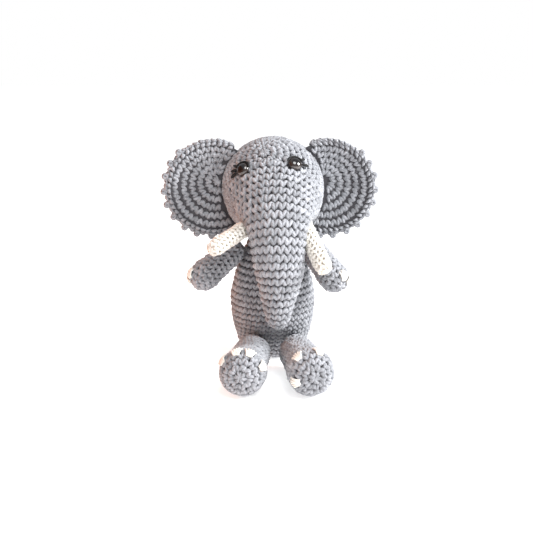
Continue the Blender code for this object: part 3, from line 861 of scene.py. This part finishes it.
# %% Nails
def strands(name, lines, finish, body, nodes):
    """Several strands as one piece: lines are (points in mm, radii in mm)."""
    bm = bmesh.new()
    for points, radii in lines:
        tube(bm, [(Vector(p) + Vector(ORIGIN)) * MM for p in points], [r * MM for r in radii])
    mesh = smooth_mesh(name, bm)
    mark(mesh, "depth", [1.0] * len(mesh.vertices))
    mesh.materials.append(finish)
    made = in_scene(name, mesh)
    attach(made, body)
    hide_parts(*nodes)
    print(name, "strands", len(lines), "faces", len(mesh.polygons))


def nail_lines(line, nails, home):
    """Strands over the end of a limb: u runs from a nail's tip to its spread end."""
    fine = spline(line, 240)
    slope = unit(np.gradient(fine, axis=0))
    run = distances(fine)
    lines = []
    for tip, angle, length, width in nails:
        end = np.interp(tip, fine[:, 0], run)
        for spread in NAIL_SPREADS:
            points, radii = [], []
            for u in np.linspace(0, 1, 9):
                s = end + 0.6 - u * (length + 1.0) * (1 - 0.2 * spread * spread)
                h, r = np.interp(s, run, fine[:, 0]), np.interp(s, run, fine[:, 1])
                dh, dr = np.interp(s, run, slope[:, 0]), np.interp(s, run, slope[:, 1])
                lift = -0.3 + 2.0 * math.sin(math.pi * min(max(u, 0.03), 0.97)) ** 0.45
                r, h = r + lift * dh, h - lift * dr
                fan = spread * (0.34 + 0.66 * u ** 0.8) * width * 0.6 / max(r, 4.0)
                turn = math.radians(angle) + fan
                points.append(home @ Vector((r * math.cos(turn), r * math.sin(turn), h)))
                radii.append(0.50 + 0.30 * math.sin(math.pi * (0.15 + 0.7 * u)))
            lines.append((points, radii))
    return lines


for kind, line, table in (("arm", ARM_LINE, FINGERS), ("leg", LEG_LINE, TOES)):
    for side in SIDES:
        strands(f"{kind}_nails_{side}", nail_lines(line, table[side], LIMBS[kind, side]),
                CREAM, f"{kind}_{side}",
                [f"{kind}_nail_{side}_{k}" for k in range(1, len(table[side]) + 1)])

# %% [markdown]
# ## Eyes, lids and lashes
# The eyes are domed safety eyes: dark brown moulded plastic with a black pupil, each held by a
# washer inside the head. Black thread makes the line of each lid and the lashes at the outer
# corner.

# %% Eyes, lids and lashes
FORM = head_rings(26, 9, 18, 11.0)  # as coarse as the CAD's head, so the eyes sit where its eyes do
FORM_TREE = skin_tree(FORM + 0.4 * outward(FORM))


def on_skin(home, normal, x, y, lift):
    """A point just off the face, from its place across and up from the eye."""
    near, up = FORM_TREE.find_nearest(home @ Vector((x, y, 0.0)))[:2]
    return near + (up if up.dot(normal) > 0 else -up) * lift


for side, direction in EYE_DIR.items():
    away = Vector(direction).normalized()
    spot, normal = FORM_TREE.ray_cast(Vector(HEAD_C) + away * 80, -away)[:2]
    if normal.dot(away) < 0:
        normal = -normal
    home = frame_along(spot, normal)
    profile = []
    for t in np.linspace(0, math.pi / 2, 20):
        r = EYE_DOME * math.sin(t)
        profile.append((EYE_LIFT - r * r / (2 * HEAD_R) + EYE_RISE * math.cos(t), r))
    profile += [(-0.7, EYE_DOME * 0.98), (-1.0, EYE_DOME * 0.85), (-1.0, 0.0)]
    eye = grid_object(f"eye_dome_{side}", in_frame(moved(turned(profile, 64), home)))
    middle = (home @ Vector((0, 0, 0)) + Vector(ORIGIN)) * MM
    axis = home.to_3x3().col[2]
    offsets = [v.co - middle for v in eye.data.vertices]
    mark(eye.data, "reach", [(v - axis * v.dot(axis)).length / (EYE_DOME * MM) for v in offsets])
    eye.data.materials.append(EYE)
    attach(eye, "head")
    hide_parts(f"eye_{side}")

    lid = [on_skin(home, normal, LID_ACROSS * math.cos(t), LID_UP * math.sin(t), LID_LIFT)
           for t in np.radians(np.linspace(14, 166, 24))]
    strands(f"eyelid_thread_{side}", [(lid, [0.4, *[0.75] * 22, 0.4])],
            THREAD, "head", [f"eye_lid_{side}"])
    lines = []
    for angle, start, end in LASHES[side]:
        t = math.radians(angle if side == "left" else 180 - angle)
        lash = [on_skin(home, normal, d * math.cos(t), d * math.sin(t), LASH_LIFT)
                for d in np.linspace(start, end, 9)]
        lines.append((lash, [0.7, *[1.1] * 5, 1.0, 0.85, 0.5]))
    strands(f"eyelash_thread_{side}", lines, THREAD, "head",
            [f"eye_lash_{side}_{k}" for k in range(1, len(lines) + 1)])
    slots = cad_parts[f"eye_washer_{side}"].data.materials
    slots.clear()
    slots.append(WASHER)

# %% [markdown]
# ## Tail
# The tail is a short twist of three strands of the same yarn. It is knotted into the back and
# left loose at its end, where the plies open into a small tassel.

# %% Tail
PLY_R, PLY_REACH, TWIST_STEPS = 1.4, 1.25, 13  # a ply's radius, its place off the axis, its pitch
HAIRS = 30
centre = spline(TAIL_LINE, 40) + np.array(TAIL_ROOT)
last = len(centre) - 1
level = Vector((1, 0, 0))
plies = []
for k in range(3):
    points = []
    for n, p in enumerate(centre):
        ahead = Vector(centre[min(n + 1, last)] - centre[max(n - 1, 0)]).normalized()
        over = ahead.cross(level)
        turn = 2 * math.pi * (k / 3 + n / TWIST_STEPS)
        points.append(Vector(p) + (level * math.cos(turn) + over * math.sin(turn)) * PLY_REACH)
    plies.append((points, [PLY_R] * len(centre)))
strands("tail_twist", plies, GREY, "tail", ["tail_cord"])

end, way = Vector(centre[-1]), Vector(centre[-1] - centre[-2]).normalized()
over = way.cross(level)
rng = np.random.default_rng(41)
hairs = []
for k in range(HAIRS):
    turn, far = rng.uniform(0, 2 * math.pi), math.sqrt(rng.uniform(0.02, 1))
    flat = level * math.cos(turn) + over * math.sin(turn)
    length = rng.uniform(9.0, 11.4)
    points, radii = [], []
    for u in np.linspace(0, 1, 9):
        splay = 1.0 + 2.0 * math.sin(math.pi * u * 0.62)
        points.append(end + way * (0.2 + length * u) + flat * far * splay)
        radii.append(0.42 - 0.2 * u)
    hairs.append((points, radii))
strands("tail_tassel", hairs, GREY, "tail", ["tail_tuft"])

# %% [markdown]
# ## Filling
# Polyester fibrefill keeps every cover in shape. It shows only through an opening or a cut, so
# each lump is its solid with a soft, uneven surface.

# %% Filling
DRAWN_IN, UNEVEN, LUMPS = 0.0006, 0.0009, 160.0  # metres, metres, and lumps about 6 mm across
FILLINGS = {"body_filling": "torso", "head_filling": "head",
            **{f"{kind}_filling_{side}": f"{kind}_{side}" for kind in ("arm", "leg")
               for side in SIDES},
            **{f"tusk_filling_{side}": "head" for side in SIDES}}
for node, body in FILLINGS.items():
    bm = bmesh.new()
    bm.from_mesh(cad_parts[node].data)
    bmesh.ops.remove_doubles(bm, verts=bm.verts[:], dist=1e-6)
    bm.normal_update()
    shifts = [v.normal * (-DRAWN_IN - UNEVEN * noise.noise(v.co * LUMPS)) for v in bm.verts]
    for v, shift in zip(bm.verts, shifts):
        v.co += shift
    mesh = smooth_mesh(node.replace("filling", "fibrefill"), bm, mend=False)
    mesh.materials.append(FIBRE)
    lump = in_scene(mesh.name, mesh)
    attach(lump, body)
    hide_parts(node)
    print(lump.name, "faces", len(mesh.polygons))
bpy.data.objects.remove(STITCH, do_unlink=True)

# %% [markdown]
# ## Studio
# The toy sits on a pale, faintly glowing floor under a soft light from its left and a softer one
# from in front. On the other side a dim, warm light and a brown card that the camera doesn't see
# keep the shaded cheek brown-grey, as yarn looks near wood. The air is white to the camera and
# dimmer elsewhere.

# %% Studio
MIDDLE = (0.0, 0.0, 0.09)
LAMPS = [("key_softbox", (0.95, -0.22, 0.62), 0.5, 20.0, "FFFFFF"),  # place, size, watts, tint
         ("warm_side", (-0.38, 0.02, 0.16), 0.3, 1.0, "FF8E30"),
         ("front_softbox", (0.25, -0.8, 1.15), 0.8, 12.0, "FFFFFF")]


def sheet(name, corners, finish):
    """A flat sheet through four corners."""
    mesh = bpy.data.meshes.new(name)
    mesh.from_pydata(corners, [], [(0, 1, 2, 3)])
    mesh.materials.append(finish)
    return in_scene(name, mesh)


# Matt paper and stained board: even but for a slight mottle about 3 cm across.
paper = speckled("white_backdrop_paper", 40.0, "F6F6F6", "FAFAFA", Roughness=0.9,
                 Emission_Color=(1, 1, 1, 1), Emission_Strength=0.62)
board = speckled("brown_card", 30.0, "4E3020", "5C3A28", Roughness=0.9)
floor = sheet("studio_floor", [(-6, -6, 0), (6, -6, 0), (6, 6, 0), (-6, 6, 0)], paper)
floor.location.z = -0.0012
card = sheet("brown_card", [(-0.36, -0.80, 0.02), (-0.40, 0.30, 0.02), (-0.40, 0.30, 0.65),
                            (-0.36, -0.80, 0.65)], board)
card.visible_camera = False
for name, place_at, size, power, tint in LAMPS:
    light = bpy.data.lights.new(name, "AREA")
    light.shape, light.size, light.energy, light.color = "DISK", size, power, shade(tint)[:3]
    lamp = in_scene(name, light)
    lamp.location = place_at
    lamp.rotation_euler = (Vector(MIDDLE) - Vector(place_at)).to_track_quat("-Z", "Y").to_euler()
    lamp.visible_glossy = name != "warm_side"  # no amber spot in the eyes

world = bpy.data.worlds.new("studio_air")
bpy.context.scene.world = world
world.use_nodes = True
sky = world.node_tree.nodes["Background"]
sky.inputs["Color"].default_value, sky.inputs["Strength"].default_value = shade("F8FAFF"), 0.45
wire(world.node_tree, {"sky": sky, "out": world.node_tree.nodes["World Output"]}, [
    ("seen", "ShaderNodeLightPath", {}),
    ("white", "ShaderNodeBackground", {"Color": (1, 1, 1, 1)}),
    ("pick", "ShaderNodeMixShader", {}),
], [("seen", "Is Camera Ray", "pick", 0), ("sky", 0, "pick", 1), ("white", 0, "pick", 2),
    ("pick", 0, "out", "Surface")])

camera = in_scene("camera", bpy.data.cameras.new("camera"))
aim = (Vector((-5.0, 0.0, 79.0)) + Vector(ORIGIN)) * MM
rise, distance = math.radians(13.0), 0.75
back = Vector((0, -math.cos(rise), math.sin(rise)))
camera.location = aim + back * distance
camera.rotation_euler = (-back).to_track_quat("-Z", "Y").to_euler()
camera.data.lens, camera.data.sensor_width = 63.3, 36.0
camera.data.clip_start, camera.data.clip_end = 0.01, 50.0
bpy.context.scene.camera = camera
bpy.context.scene.view_settings.view_transform = "Standard"
print("lamps", [name for name, *_ in LAMPS])
